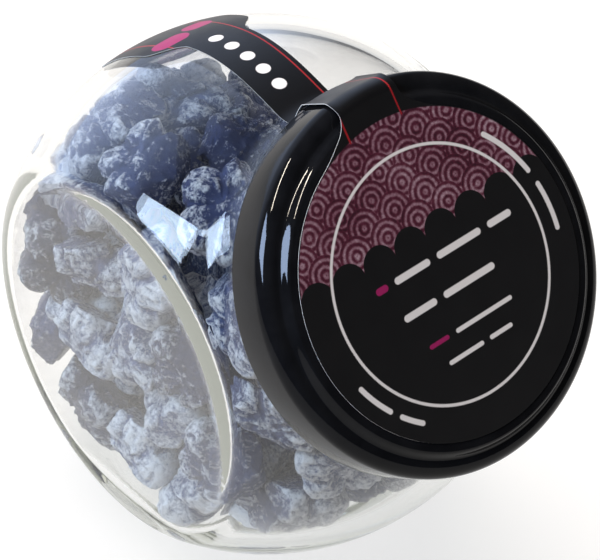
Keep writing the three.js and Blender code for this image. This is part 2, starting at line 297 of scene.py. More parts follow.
def draw_line(name, outline):
    leave_all()
    bpy.ops.mesh.primitive_plane_add(size=MM)
    line = bpy.context.object
    line.name = name
    places = [Vector(by_mouth(radius, height)) for radius, height in outline]
    edit_all()
    bpy.ops.mesh.merge(type="CENTER")
    bpy.ops.transform.translate(value=places[0])
    for here, there in zip(places, places[1:]):
        bpy.ops.mesh.extrude_vertices_move(TRANSFORM_OT_translate={"value": there - here})
    edit_done()
    return line


def spin_about_mouth(line, smooth_angle):
    work_on(line)
    edit_all()
    bpy.ops.mesh.spin(steps=SPIN_STEPS, angle=2 * math.pi, center=CENTRE, axis=MOUTH)
    bpy.ops.mesh.select_all(action="SELECT")
    bpy.ops.mesh.remove_doubles(threshold=MM / 500)
    bpy.ops.mesh.normals_make_consistent(inside=False)
    edit_done()
    bpy.ops.object.shade_smooth_by_angle(angle=smooth_angle)

# %% Model the lid
PANEL_RADIUS = 28.6 * MM
STEP_WIDTH = 1.6 * MM
STEP_POINTS = 17
LID_RADIUS = 33.2 * MM
LID_SHOULDER = 2.4 * MM
SKIRT_DEPTH = 10.8 * MM
HEM_RADIUS = 0.7 * MM
LID_INSIDE = LID_RADIUS - LID_SHEET
SMOOTH_ANGLE = math.radians(40)


def soft_step(share):
    """A point on the slope from the panel down to the ring, which starts and ends level."""
    fall = (1 - math.cos(math.pi * share)) / 2
    return PANEL_RADIUS + STEP_WIDTH * share, PANEL_HEIGHT - STEP_DROP * fall


shoulder_radius = LID_RADIUS - LID_SHOULDER
shoulder_height = RING_HEIGHT - LID_SHOULDER
foot_height = PANEL_HEIGHT - SKIRT_DEPTH
lid_outline = [
    (0, PANEL_HEIGHT),
    *[soft_step(share) for share in np.linspace(0, 1, STEP_POINTS)],
    *arc(shoulder_radius, shoulder_height, LID_SHOULDER, 90, 0, 20),
    *arc(LID_RADIUS - HEM_RADIUS, foot_height + HEM_RADIUS, HEM_RADIUS, 0, -180, 12),
    (LID_INSIDE, foot_height + 3 * HEM_RADIUS),
    *arc(shoulder_radius, shoulder_height, LID_SHOULDER - LID_SHEET, 0, 90, 6),
    (PANEL_RADIUS + STEP_WIDTH - LID_SHEET / 2, RING_HEIGHT - LID_SHEET),
    (PANEL_RADIUS - LID_SHEET / 2, PANEL_HEIGHT - LID_SHEET),
    (0, PANEL_HEIGHT - LID_SHEET),
]
lid = draw_line("lid_shell", lid_outline)
spin_about_mouth(lid, SMOOTH_ANGLE)
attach(lid, "root")
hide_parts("lid")
tell(lid)

# %% [markdown]
# ## The paper seal
# One die-cut label: a disc on the lid's panel, a notched tongue over the edge, tucked into the neck, a
# strip along the crown of the glass and a wider pad at its end. Real paper bends but does not stretch, so
# it is a fine grid whose rows follow the outline of the lid and the ball, each row as wide as the label
# is there. The grid keeps the flat label's own measures as its UV map, where the print is drawn, and
# Solidify gives it a white cut edge.

# %% The line that the paper follows
PAPER = 0.12 * MM
PAPER_LIFT = 0.06 * MM
DISC_RADIUS = 27.3 * MM
FOLD_REACH = 2.2 * MM
FOLD_DROP = 3.6 * MM
TUCK_ANGLE = 200
PAD_END = math.radians(106)
PATH_STEP = 0.4 * MM


def evenly(points, step):
    """The same line with points at even steps, and how far along it each one is."""
    points = np.array(points)
    lengths = np.r_[0, np.cumsum(np.linalg.norm(np.diff(points, axis=0), axis=1))]
    marks = np.linspace(0, lengths[-1], int(lengths[-1] / step) + 1)
    return np.c_[np.interp(marks, lengths, points[:, 0]), np.interp(marks, lengths, points[:, 1])], marks


foot_degrees = math.degrees(FILLET_FOOT)
fold_side = LID_RADIUS + PAPER_LIFT
fold_top = PANEL_HEIGHT + PAPER_LIFT
quarter = arc(0, 0, 1, 90, 0, 20)
fold = [(fold_side - FOLD_REACH * (1 - x), fold_top - FOLD_DROP * (1 - y)) for x, y in quarter]
paper_outline = [
    (0, fold_top),
    *fold,
    (fold_side, foot_height),
    *arc(FILLET_RADIUS, FILLET_HEIGHT, NECK_FILLET - PAPER_LIFT, TUCK_ANGLE, 180 + foot_degrees, 8),
    *arc(0, 0, BALL_RADIUS + PAPER_LIFT, foot_degrees, 90 - math.degrees(PAD_END), 60)[1:],
]
paper_line, paper_marks = evenly(paper_outline, PATH_STEP)
print("paper runs", round(paper_marks[-1] / MM, 1), "mm from the middle of the disc")

# %% How wide the paper is along that line
SEAL_TURN = math.radians(4.3)
STRIP_SHIFT = -1.2 * MM
PAD_SHIFT = -0.2 * MM
NOTCH_LEFT = 5.6 * MM
NOTCH_RIGHT = 6.4 * MM
LEAVE_MARK = 24 * MM
COLLAR_LEFT = 4.7 * MM
COLLAR_RIGHT = 6.9 * MM
COLLAR_DROP = 10.8 * MM
TUCK_DROP = 17 * MM
STRIP_HALF = 5.3 * MM
STRIP_START = math.radians(43)
PAD_HALF = 10 * MM
PAD_START = math.radians(70)
PAD_FULL = math.radians(79)
PAD_SKEW = math.radians(3.5)
PAD_CORNER = math.radians(7)
PAD_ROUND = 4 * MM


def ease(value, start, stop):
    t = np.clip((value - start) / (stop - start), 0, 1)
    return t * t * (3 - 2 * t)


def mix(first, second, share):
    return first + (second - first) * share


def on_glass(radius, height):
    return math.hypot(radius, height) < BALL_RADIUS + LID_GAP


def tongue_reach(radius, height, side):
    """How far the paper reaches from its middle line, to the left or the right."""
    if on_glass(radius, height):
        angle = math.atan2(radius, height)
        corner = float(np.clip(1 - (PAD_END - angle) / PAD_CORNER, 0, 1))
        start = PAD_SKEW if side < 0 else 0
        pad = mix(STRIP_HALF, PAD_HALF, float(ease(angle - start, PAD_START, PAD_FULL)))
        return pad - PAD_ROUND * (1 - math.sqrt(1 - corner**2))
    drop = PANEL_HEIGHT - height
    notch = NOTCH_LEFT if side < 0 else NOTCH_RIGHT
    collar = mix(notch, COLLAR_LEFT if side < 0 else COLLAR_RIGHT, float(ease(drop, 0, COLLAR_DROP)))
    return mix(collar, STRIP_HALF, float(ease(drop, SKIRT_DEPTH, TUCK_DROP)))


def paper_reach(mark, radius, height, side):
    """The disc's own half width, which leaves the circle in one smooth curve and runs into the tongue."""
    if mark < LEAVE_MARK:
        return math.sqrt(DISC_RADIUS**2 - mark**2)
    tongue = tongue_reach(radius, height, side)
    leave = math.sqrt(DISC_RADIUS**2 - LEAVE_MARK**2)
    run = 2 * (leave - tongue) * leave / LEAVE_MARK
    rest = max(1 - (mark - LEAVE_MARK) / run, 0)
    return tongue + (leave - tongue) * rest**2


def paper_turn(radius, height):
    """How far the paper's middle is turned about the mouth's axis: askew on the lid, nearly straight on
    the glass."""
    if radius < PANEL_RADIUS:
        return SEAL_TURN
    angle = math.atan2(radius, height)
    shift = mix(STRIP_SHIFT, PAD_SHIFT, float(ease(angle, STRIP_START, PAD_START)))
    tucked = float(ease(PANEL_HEIGHT - height, SKIRT_DEPTH, TUCK_DROP))
    return mix(SEAL_TURN, math.asin(-shift / radius), tucked)

# %% Lay the grid along the line
PAPER_COLUMNS = 48
DISC_ROWS = 90
FLAT_END = 26.5 * MM
EDGE_CURL = 0.45 * MM
CURL_DROP = 3 * MM
CURL_POWER = 6
PRINT_SHIFT = 0.85 * MM
UV_SPAN = 100 * MM


def paper_rows():
    """Each row as its mark along the label, radius, height, and reach to the left and the right."""
    rows = []
    for i in range(DISC_ROWS):
        mark = -DISC_RADIUS * math.cos(0.5 * math.pi * i / DISC_ROWS)
        half = math.sqrt(max(DISC_RADIUS**2 - mark**2, 0))
        rows.append((mark, mark, PANEL_HEIGHT + PAPER_LIFT, half, half))
    for mark, (radius, height) in zip(paper_marks, paper_line):
        reach = [paper_reach(mark, radius, height, side) for side in (-1, 1)]
        rows.append((mark, radius, height, *reach))
    return rows


def paper_place(row, side):
    """Where one point of the paper lies, and its own place on the flat label."""
    mark, radius, height, left, right = row
    across = mix(-left, right, (side + 1) / 2)
    bend = float(ease(mark, FLAT_END, fold_side - FOLD_REACH))
    drop = PANEL_HEIGHT - height
    on_skirt = float(ease(drop, 0, CURL_DROP) * (1 - ease(drop, SKIRT_DEPTH, TUCK_DROP)))
    lift = EDGE_CURL * on_skirt * side**CURL_POWER
    sag = bend * (radius - math.sqrt(max(radius**2 - across**2, 0)))
    turn = paper_turn(radius, height)
    out = math.cos(turn) * UPHILL - math.sin(turn) * ACROSS
    aside = math.cos(turn) * ACROSS + math.sin(turn) * UPHILL
    printed = across + PRINT_SHIFT * float(ease(drop, 0, TUCK_DROP))
    return CENTRE + height * MOUTH + across * aside + (radius - sag + lift) * out, (printed, mark - sag)


rows = paper_rows()
leave_all()
bpy.ops.mesh.primitive_grid_add(x_subdivisions=PAPER_COLUMNS, y_subdivisions=len(rows) - 1, size=1)
seal = bpy.context.object
seal.name = "seal_sheet"
flat = points_of(seal)
columns = np.rint((flat[:, 0] + 0.5) * PAPER_COLUMNS).astype(int)
row_of = np.rint((flat[:, 1] + 0.5) * (len(rows) - 1)).astype(int)
laid = [paper_place(rows[r], 2 * c / PAPER_COLUMNS - 1) for r, c in zip(row_of, columns)]
set_points(seal, [place for place, _ in laid])
label_uv = seal.data.uv_layers.active
for loop in seal.data.loops:
    across, along = laid[loop.vertex_index][1]
    label_uv.data[loop.index].uv = (across / UV_SPAN, along / UV_SPAN)
work_on(seal)
edit_all()
bpy.ops.mesh.remove_doubles(threshold=MM / 1000)
edit_done()
facing = sum((face.normal @ Vector(MOUTH)) * face.area for face in seal.data.polygons)
if facing < 0:
    turn_inside_out(seal)
print("seal faced out:", facing > 0, "rows", len(rows))

# %% Finish the seal's edge
seal.data.materials.append(None)
seal.data.materials.append(None)
apply_modifier(seal, "SOLIDIFY", thickness=PAPER, offset=1, use_rim=True, material_offset_rim=1)
work_on(seal)
bpy.ops.object.shade_smooth_by_angle(angle=SMOOTH_ANGLE)
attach(seal, "root")
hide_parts("paper_seal")
tell(seal)

# %% [markdown]
# ## The candies
# Each candy is a five-petalled flower of boiled sugar, about two centimetres across, domed on both faces,
# with a groove between the petals, a button in the middle and a frost of sugar on every ridge. First
# comes where they lie. Places are thrown at the heap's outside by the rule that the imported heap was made
# with, and two more layers are thrown behind them. Blender's rigid bodies could shake them down, but a
# short settling rule is enough: each candy stands for six small balls, and balls that overlap each other
# or the glass push their candies apart.

# %% How deep a place lies in the heap, in millimetres
INNER_RADIUS = (BALL_RADIUS - BALL_WALL) / MM
INNER_SIDE = (SIDE_HALF - SIDE_WALL) / MM
HEAP_ROUND = 5
FILL_LEVEL = 34
FILL_SLOPE = -0.45
MOUTH_FILL = 45
SLOPE_STEP = 0.05
NEARLY_NOUGHT = 1e-9


def heap_depth(arms):
    """Depth in millimetres below the glass, the heap's sloping top and the lid, from the ball's centre."""
    height = arms @ MOUTH
    length = np.linalg.norm(arms, axis=1)
    out = np.sqrt(np.maximum(length**2 - height**2, 0))
    ball = rounded_least(INNER_RADIUS - length, INNER_SIDE - np.abs(arms[:, 0]), HEAP_ROUND)
    inside = np.maximum(ball, np.minimum(BORE_RADIUS / MM - out, height))
    fill = (FILL_LEVEL + FILL_SLOPE * arms[:, 0] - arms[:, 2]) / math.hypot(1, FILL_SLOPE)
    floor = arms[:, 2] + (BASE_DROP - BASE_WALL) / MM
    return np.minimum.reduce([inside, floor, fill, MOUTH_FILL - height])


def heap_inward(arms):
    """The direction in which the depth grows fastest, at each place."""
    steps = np.eye(3) * SLOPE_STEP
    slope = np.column_stack([heap_depth(arms + step) - heap_depth(arms - step) for step in steps])
    return slope / np.maximum(np.linalg.norm(slope, axis=1), NEARLY_NOUGHT)[:, None]


def reach_depth(directions, depth):
    """The place along each ray from the ball's centre that lies so deep in the heap."""
    return slide_out(directions, 2 * BALL_RADIUS / MM, lambda arms: heap_depth(arms) > depth)

# %% Throw the candies
CANDY_SMALLEST = 0.9
CANDY_LARGEST = 1.06
CANDY_LEAN = math.radians(72)
CANDY_TRIES = 2000
DRAW_FACTOR = 1664525
DRAW_STEP = 1013904223
DRAW_RANGE = 2**32


def draws(seed, count):
    """Repeatable random numbers from 0 to 1."""
    state = seed
    made = []
    for _ in range(count):
        state = (state * DRAW_FACTOR + DRAW_STEP) % DRAW_RANGE
        made.append(state / DRAW_RANGE)
    return np.array(made)


def turned(vector, axis, angle):
    """A vector turned about an axis by the right-hand rule."""
    along = axis * (axis @ vector)
    return along + (vector - along) * math.cos(angle) + np.cross(axis, vector) * math.sin(angle)


def throw_candies(depth, spacing, seed):
    """Centre, turn and size of each candy that lands far enough from the others."""
    thrown = draws(seed, CANDY_TRIES * 6).reshape(CANDY_TRIES, 6)
    rise = 2 * thrown[:, 1] - 1
    flat = np.sqrt(1 - rise**2)
    angle = 2 * math.pi * thrown[:, 0]
    centres = reach_depth(np.c_[flat * np.cos(angle), flat * np.sin(angle), rise], depth)
    kept = []
    for centre, (_, _, lean, lean_turn, spin, size) in zip(centres, thrown):
        if all(np.linalg.norm(centre - other[0]) > spacing for other in kept):
            inward = heap_inward(centre[None])[0]
            side = np.cross(np.roll(inward, -1), inward)
            side = turned(side / np.linalg.norm(side), inward, 2 * math.pi * lean_turn)
            axis = turned(inward, side, CANDY_LEAN * lean**2)
            aside = turned(side, axis, 2 * math.pi * spin)
            turn = np.column_stack([aside, np.cross(axis, aside), axis])
            kept.append((centre, turn, mix(CANDY_SMALLEST, CANDY_LARGEST, size)))
    return kept


outer_throw = throw_candies(depth=6, spacing=12.4, seed=20)
second_throw = throw_candies(depth=16, spacing=13, seed=77)
third_throw = throw_candies(depth=27, spacing=13, seed=5)
print("thrown:", len(outer_throw), len(second_throw), len(third_throw))

# %% Settle them
PETALS = 5
PETAL_MIDDLE = 5.4
PETAL_RADIUS = 4.1
GLASS_CLEARANCE = 0.2
SETTLE_STEPS = 320
SETTLE_DRIFT = 0.06
DRIFT_UNTIL = 0.7 * SETTLE_STEPS
MOVE_SHARE = 3
LEAST_SPIN = 1e-6


def settle(thrown):
    """Candies pushed apart and off the glass, while they drift down and out against it."""
    centres = np.array([centre for centre, _, _ in thrown])
    turns = np.array([turn for _, turn, _ in thrown])
    sizes = np.array([size for _, _, size in thrown])
    petal = 2 * math.pi * (np.arange(PETALS) + 0.5) / PETALS
    balls = np.vstack([[0, 0, 0], np.c_[np.cos(petal), np.sin(petal), 0 * petal] * PETAL_MIDDLE])
    owner = np.repeat(np.arange(len(centres)), len(balls))
    reach = PETAL_RADIUS * sizes[owner]
    apart = reach[:, None] + reach[None, :]
    other = owner[:, None] != owner[None, :]
    for step in range(SETTLE_STEPS):
        arms = (np.einsum("nij,kj->nki", turns, balls) * sizes[:, None, None]).reshape(-1, 3)
        places = arms + centres[owner]
        between = places[:, None, :] - places[None, :, :]
        distance = np.sqrt((between**2).sum(2)) + NEARLY_NOUGHT
        overlap = np.where(other & (distance < apart), apart - distance, 0)
        push = (between * (overlap / distance)[:, :, None]).sum(1) / 2
        touching = (overlap > 0).sum(1)
        inward = heap_inward(places)
        short = np.maximum(reach + GLASS_CLEARANCE - heap_depth(places), 0)
        push += inward * short[:, None]
        count = np.maximum(touching + (short > 0), 1)
        push /= count[:, None]
        moved = np.zeros_like(centres)
        spun = np.zeros_like(centres)
        np.add.at(moved, owner, push)
        np.add.at(spun, owner, np.cross(arms, push))
        drift = SETTLE_DRIFT * max(1 - step / DRIFT_UNTIL, 0)
        centres = centres + moved / MOVE_SHARE - heap_inward(centres) * drift - np.array([0, 0, drift / 2])
        for i, spin in enumerate(spun / (MOVE_SHARE * PETAL_MIDDLE**2)):
            angle = np.linalg.norm(spin)
            if angle > LEAST_SPIN:
                turns[i] = np.column_stack([turned(turns[i][:, k], spin / angle, angle) for k in range(3)])
    print("settled; overlaps in mm", overlap.max().round(2), "and with the glass", short.max().round(2))
    return [(turn * size, centre) for turn, size, centre in zip(turns, sizes, centres)]


# Three more candies fill gaps that would show the floor or the back of the paper
GAP_FILLERS = [(-18.3, 23.9, -8.7), (-3.0, 18.1, 28.3), (-19.7, 22.3, 20.5)]
lying = settle(outer_throw + second_throw + third_throw)
showing = lying[: len(outer_throw)]
behind = lying[len(outer_throw):]
behind += [(np.eye(3), np.array(place)) for place in GAP_FILLERS]

# %% [markdown]
# ## One candy
# Such candies are pressed in one mould, and then they rub and break against each other in the jar. A
# flower could be sculpted by hand, but a rule is easier to repeat. The points of a globe are moved out
# to five petals, the grooves, the button and a drop in each petal are pressed in, and long waves, flat
# breaks and small folds wear it. A crisp one and a worn one are copied in turn to the places that show,
# so that the eye finds no pattern, and a plainer one fills the layers behind them.

# %% The form of one flower, in millimetres
CANDY_THICK = 8.6
PILLOW = 3.4
RELIEF_EDGE = 0.5
GROOVE_DEPTH = 0.85
GROOVE_WIDTH = 0.6
GROOVE_RUN = (1.8, 3.4)
BUTTON_RADIUS = 2.3
BUTTON_DEPTH = 0.55
BUTTON_LINE = 0.45
DROP_MIDDLE = 5.7
DROP_LENGTH = 2.3
DROP_WIDTH = 1.5
DROP_DEPTH = 0.45
DROP_LINE = 0.2
DOME_RISE = 0.45
DOME_HALF = 3.4
DOME_RUN = (2, 5)


def hollow(depth, away, width):
    """A soft hollow line, deepest where the distance from it is nought."""
    return depth * np.exp(-((away / width) ** 2))


def flower(unit):
    """A globe's points moved to a flower with petals, grooves, a button and a drop pressed in each petal,
    then the relief at each point, how far up or down the side it is, and the flower's reach."""
    angle = np.arctan2(unit[:, 1], unit[:, 0])
    step = 2 * math.pi / PETALS
    off = np.mod(angle, step) - step / 2
    tilt = np.arcsin(np.clip(unit[:, 2], -1, 1))
    spread = np.cos(tilt) ** (2 / PILLOW)
    lift = np.sign(tilt) * np.abs(np.sin(tilt)) ** (2 / PILLOW)
    edge = PETAL_MIDDLE * np.cos(off) + np.sqrt(PETAL_RADIUS**2 - (PETAL_MIDDLE * np.sin(off)) ** 2)
    radius = edge * spread
    aside = radius * np.sin(off)
    along = radius * np.cos(off)
    to_groove = radius * np.sin(step / 2 - np.abs(off))
    groove = hollow(GROOVE_DEPTH, to_groove, GROOVE_WIDTH) * ease(radius, *GROOVE_RUN)
    ring = hollow(BUTTON_DEPTH, radius - BUTTON_RADIUS, BUTTON_LINE)
    drop = np.hypot((along - DROP_MIDDLE) / DROP_LENGTH, aside / DROP_WIDTH)
    pressed = hollow(DROP_DEPTH, drop - 1, DROP_LINE)
    dome = DOME_RISE * (1 - (aside / DOME_HALF) ** 2) * ease(radius, *DOME_RUN)
    relief = dome - groove - ring - pressed
    height = (CANDY_THICK / 2 - RELIEF_EDGE) * lift + relief * lift
    return np.c_[radius * np.cos(angle), radius * np.sin(angle), height], relief, lift, edge.max()

# %% Wear and tear
WHOLE_TURN = 6.3
HALF_TURN = 3.2
WAVES = 14
WAVE_PITCH = 0.7
WAVE_FINER = 0.28
WAVE_TIGHTNESS = 2.2
WAVE_FADE = 0.35
CHIP_CUT = 0.96
CHIP_EDGE = 0.6
CHIP_TILT = 2.4
CHIP_FROM = 0.66
CHIP_SPREAD = 0.22
CRAGS = 7
CRAG_DEPTH = 0.38
CRAG_PITCH = 1.1
CRAG_FINER = 0.22


def sway(shaped, uneven, numbers):
    """Bends a flower out of true by long waves."""
    for i in range(WAVES):
        x, y, z, phase = numbers[4 * i: 4 * i + 4]
        wave = (np.array([x, y, z]) - 0.5) * (WAVE_PITCH + WAVE_FINER * i)
        bend = np.sin(shaped @ wave * WAVE_TIGHTNESS + WHOLE_TURN * phase)
        shaped += uneven / (1 + WAVE_FADE * i) * np.outer(bend, np.array([y, z, x]) - 0.5) * 2


def chip(shaped, chips, numbers):
    """Presses corners in to flat breaks, and tells how broken each point is."""
    broken = np.zeros(len(shaped))
    for i in range(chips):
        x, y, _, cut = numbers[4 * i: 4 * i + 4]
        facing = np.array([math.cos(WHOLE_TURN * x), math.sin(WHOLE_TURN * x), CHIP_TILT * (y - 0.5)])
        facing /= np.linalg.norm(facing)
        out = shaped @ facing
        beyond = np.maximum(out - np.max(out) * (CHIP_FROM + CHIP_SPREAD * cut), 0)
        shaped -= np.outer(beyond * CHIP_CUT, facing)
        broken = np.maximum(broken, ease(beyond, 0, CHIP_EDGE))
    return broken


def craggy(shaped, numbers):
    """How deep each point lies in a skin of small folds, nought on the whole."""
    crag = np.zeros(len(shaped))
    for i in range(CRAGS):
        x, y, z, phase = numbers[4 * i: 4 * i + 4]
        wave = np.array([x, y, z]) - 0.5
        wave *= (CRAG_PITCH + CRAG_FINER * i) / np.linalg.norm(wave)
        crag += np.abs(np.sin(shaped @ wave + HALF_TURN * phase)) / CRAGS
    return crag - crag.mean()

# %% Model the candies and lay them
PETAL_SEGMENTS = 16
CANDY_RINGS = 32
HIDDEN_SEGMENTS = 10
HIDDEN_RINGS = 18
WEAR_DRAWS = 200
CHIPS_FROM = 80
CRAGS_FROM = 140
FROST_LEVEL = 0.5
FROST_ON_RELIEF = 0.55
FROST_ON_RIM = 0.3
FROST_OFF_CRAGS = 1.2
FROST_OFF_BREAKS = 0.5


def model_candy(segments, rings, uneven, chips, seed):
    """One worn flower, with the frost that each of its points holds."""
    leave_all()
    bpy.ops.mesh.primitive_uv_sphere_add(segments=PETALS * segments, ring_count=rings, radius=1)
    piece = bpy.context.object
    piece.name = "candy"
    shaped, relief, lift, reach = flower(points_of(piece))
    numbers = draws(seed, WEAR_DRAWS)
    sway(shaped, uneven, numbers)
    broken = chip(shaped, chips, numbers[CHIPS_FROM:])
    crag = craggy(shaped, numbers[CRAGS_FROM:])
    outward = shaped / np.array([reach, reach, CANDY_THICK / 2]) ** 2
    outward /= np.linalg.norm(outward, axis=1)[:, None]
    set_points(piece, shaped - outward * (CRAG_DEPTH * 2 * crag)[:, None])
    ridges = FROST_ON_RELIEF * relief + FROST_ON_RIM * (1 - np.abs(lift)) - FROST_OFF_CRAGS * crag
    frosted = np.clip(FROST_LEVEL + ridges, 0, 1) * (1 - FROST_OFF_BREAKS * broken)
    frost = piece.data.attributes.new("frost", "FLOAT", "POINT")
    frost.data.foreach_set("value", frosted)
    bpy.ops.object.shade_smooth()
    return piece


def lay_candies(name, model, places, seed, darkest):
    """Copies of one candy at their places, each with its own tone, joined into one piece. A tone that
    starts above nought is painted light for candies that lie in shade.
    """
    leave_all()
    for (turn, centre), tone in zip(places, mix(darkest, 1, draws(seed, len(places)))):
        copy = bpy.data.objects.new(name, model.data.copy())
        bpy.context.scene.collection.objects.link(copy)
        set_points(copy, (points_of(copy) @ turn.T + centre) * MM + CENTRE)
        shade = copy.data.attributes.new("tone", "FLOAT", "POINT")
        shade.data.foreach_set("value", np.full(len(copy.data.vertices), tone))
        copy.select_set(True)
        bpy.context.view_layer.objects.active = copy
    bpy.ops.object.join()
    joined = bpy.context.object
    joined.name = name
    bpy.data.objects.remove(model)
    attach(joined, "root")
    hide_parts("candy_heap")
    tell(joined)
    return joined


crisp_candy = model_candy(PETAL_SEGMENTS, CANDY_RINGS, uneven=0.2, chips=3, seed=5)
worn_candy = model_candy(PETAL_SEGMENTS, CANDY_RINGS, uneven=0.34, chips=10, seed=9)
hidden_candy = model_candy(HIDDEN_SEGMENTS, HIDDEN_RINGS, uneven=0.25, chips=8, seed=31)
crisp = lay_candies("candies_crisp", crisp_candy, showing[0::2], seed=11, darkest=0)
worn = lay_candies("candies_worn", worn_candy, showing[1::2], seed=23, darkest=0)
# The candies behind lie in the heap's shade, so their tone starts higher. This is painted light, standing
# in for light that shines through the sugar.
hidden = lay_candies("candies_behind", hidden_candy, behind, seed=37, darkest=0.4)

# %% [markdown]
# ## The core of the heap
# Deep inside, where no single candy can be told from the next, one dark lump fills the heap, so that no
# light passes through from the far side. It starts as an ico sphere, takes the heap's own shape well
# below its skin, and gets bumps of the candies' size. Its tone is set high for so deep a place. That is
# painted light, standing in for light that shines through the sugar.

# %% Model the core
CORE_DEPTH = 20
CORE_BUMP = 1.6
CORE_WAVES = [(9, 4, 2), (-3, 8, 5)]
CORE_FROST = 0.3
# Painted light: the core's tone is set high, standing in for light that shines through the sugar into the
# heap's shade.
CORE_PAINTED_LIGHT_TONE = 0.6
leave_all()
bpy.ops.mesh.primitive_ico_sphere_add(subdivisions=5, radius=1)
core = bpy.context.object
core.name = "candy_core"
rays = points_of(core)
rays /= np.linalg.norm(rays, axis=1)[:, None]
first_wave, second_wave = [np.sin(rays @ np.array(wave, float)) for wave in CORE_WAVES]
bump = CORE_BUMP * first_wave * second_wave
set_points(core, (reach_depth(rays, CORE_DEPTH) + rays * bump[:, None]) * MM + CENTRE)
bpy.ops.object.shade_smooth()
for name, value in (("frost", CORE_FROST), ("tone", CORE_PAINTED_LIGHT_TONE)):
    layer = core.data.attributes.new(name, "FLOAT", "POINT")
    layer.data.foreach_set("value", np.full(len(rays), value))
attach(core, "root")
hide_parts("candy_heap")
tell(core)

# %% [markdown]
# ## Finishes
# Every finish is a small tree of nodes on one Principled shader. A helper adds a node and links or sets
# its inputs, so that each finish below reads as a short list of what the surface does.

# %% Helpers for node trees
def new_finish(name):
    print("finish:", name)
    finish = bpy.data.materials.new(name)
    finish.use_nodes = True
    tree = finish.node_tree
    return finish, tree, tree.nodes["Principled BSDF"]


def fill_inputs(tree, node, inputs):
    """Sets a node's inputs to values, or links them to sockets."""
    for key, value in inputs.items():
        if isinstance(value, bpy.types.NodeSocket):
            tree.links.new(value, node.inputs[key])
        else:
            node.inputs[key].default_value = value


def add_node(tree, kind, inputs, **settings):
    """A new node with its inputs and settings."""
    node = tree.nodes.new(kind)
    for name, value in settings.items():
        setattr(node, name, value)
    fill_inputs(tree, node, inputs)
    return node


def calc(tree, operation, *values):
    """One step of arithmetic."""
    return add_node(tree, "ShaderNodeMath", dict(enumerate(values)), operation=operation).outputs[0]


def weigh(tree, *shares):
    """A sum of values, each times its weight."""
    total = 0.0
    for value, weight in shares:
        total = calc(tree, "ADD", total, calc(tree, "MULTIPLY", value, weight))
    return total


def blend(tree, factor, first, second):
    """A colour between two others."""
    inputs = {"Factor": factor, 6: first, 7: second}
    return add_node(tree, "ShaderNodeMix", inputs, data_type="RGBA").outputs[2]


def ramp(tree, factor, *stops):
    """A colour read from stops of (place, colour)."""
    node = add_node(tree, "ShaderNodeValToRGB", {"Fac": factor})
    scale = node.color_ramp.elements
    while len(scale) < len(stops):
        scale.new(0.5)
    for element, (place, colour) in zip(scale, stops):
        element.position = place
        element.color = (*colour, 1)
    return node.outputs["Color"]


def grain(tree, scale, detail=4.0, roughness=0.6, swirl=0.0):
    """Noise in the object's own measure."""
    where = add_node(tree, "ShaderNodeTexCoord", {}).outputs["Object"]
    inputs = {"Scale": scale, "Detail": detail, "Roughness": roughness, "Distortion": swirl}
    return add_node(tree, "ShaderNodeTexNoise", {"Vector": where, **inputs}).outputs["Fac"]


def spread_over(tree, value, low, high):
    """A value from 0 to 1 spread over another range."""
    return add_node(tree, "ShaderNodeMapRange", {"Value": value, "To Min": low, "To Max": high}).outputs[0]


def emboss(tree, shader, strength, distance, height):
    """Bumps on a surface."""
    inputs = {"Strength": strength, "Distance": distance, "Height": height}
    fill_inputs(tree, shader, {"Normal": add_node(tree, "ShaderNodeBump", inputs).outputs["Normal"]})

# %% [markdown]
# ## Clear glass
# The jar's wall is clear, with a breath of green where it is thick and slight waves from the mould. It
# could be one Principled shader with full transmission, but two things would go wrong. Lamps would
# reach the candies only as caustics, which are slow and full of noise, so a lamp's light passes
# straight through the glass here. And light that runs along inside the wall would end in black when its
# bounces are used up. It has long lost its picture by then, so past seven bounces the wall glows an
# even grey instead. That glow is painted light: an emission that stands in for the guided light. It has
# long lost its picture by then, so past seven bounces it takes the wall's
# own even grey.

# %% Clear glass
GUIDED_BOUNCES = 7.5
# Painted light: past those bounces the wall glows with this grey, an emission that stands in for the light
# guided along it.
PAINTED_WALL_GLOW = (0.58, 0.59, 0.57, 1)
LAMP_TINT = (0.93, 0.95, 0.94, 1)
GLASS_TINT = (0.846, 0.854, 0.821, 1)
TINT_DENSITY = 60.0


def glass_finish():
    """Clear soda glass that lets lamps shine through, and that paints the light deep inside its wall as an
    even grey glow.
    """
    finish, tree, shader = new_finish("clear_glass")
    clear_body = {"Base Color": (1, 1, 1, 1), "Roughness": 0.0, "IOR": 1.5, "Transmission Weight": 1.0}
    fill_inputs(tree, shader, clear_body)
    emboss(tree, shader, strength=0.04, distance=0.002, height=grain(tree, scale=40, detail=1))
    path = add_node(tree, "ShaderNodeLightPath", {}).outputs
    guided = calc(tree, "GREATER_THAN", path["Ray Depth"], GUIDED_BOUNCES)
    glow = add_node(tree, "ShaderNodeEmission", {"Color": PAINTED_WALL_GLOW})
    wall = add_node(tree, "ShaderNodeMixShader", {0: guided, 1: shader.outputs[0], 2: glow.outputs[0]})
    clear = add_node(tree, "ShaderNodeBsdfTransparent", {"Color": LAMP_TINT})
    lamp = path["Is Shadow Ray"]
    mixed = add_node(tree, "ShaderNodeMixShader", {0: lamp, 1: wall.outputs[0], 2: clear.outputs[0]})
    finish.cycles.emission_sampling = "NONE"
    tint = add_node(tree, "ShaderNodeVolumeAbsorption", {"Color": GLASS_TINT, "Density": TINT_DENSITY})
    ends = {"Surface": mixed.outputs[0], "Volume": tint.outputs[0]}
    fill_inputs(tree, tree.nodes["Material Output"], ends)
    return finish


glass.data.materials.append(glass_finish())

# %% [markdown]
# ## Black lacquer
# The lid is tinplate under gloss black lacquer. A plain black would look like plastic, so one noise
# varies the colour and the gloss a little, as where the lacquer is rubbed, and a very fine bump gives
# it the orange-peel that breaks the edge of a highlight. The specular level is low, so that the lid
# stays black under the sky and only its own lamps leave bright lines.

# %% Black lacquer
LACQUER_BLACK = (0.0016, 0.0016, 0.0018)
RUBBED_BLACK = (0.0035, 0.0035, 0.0038)


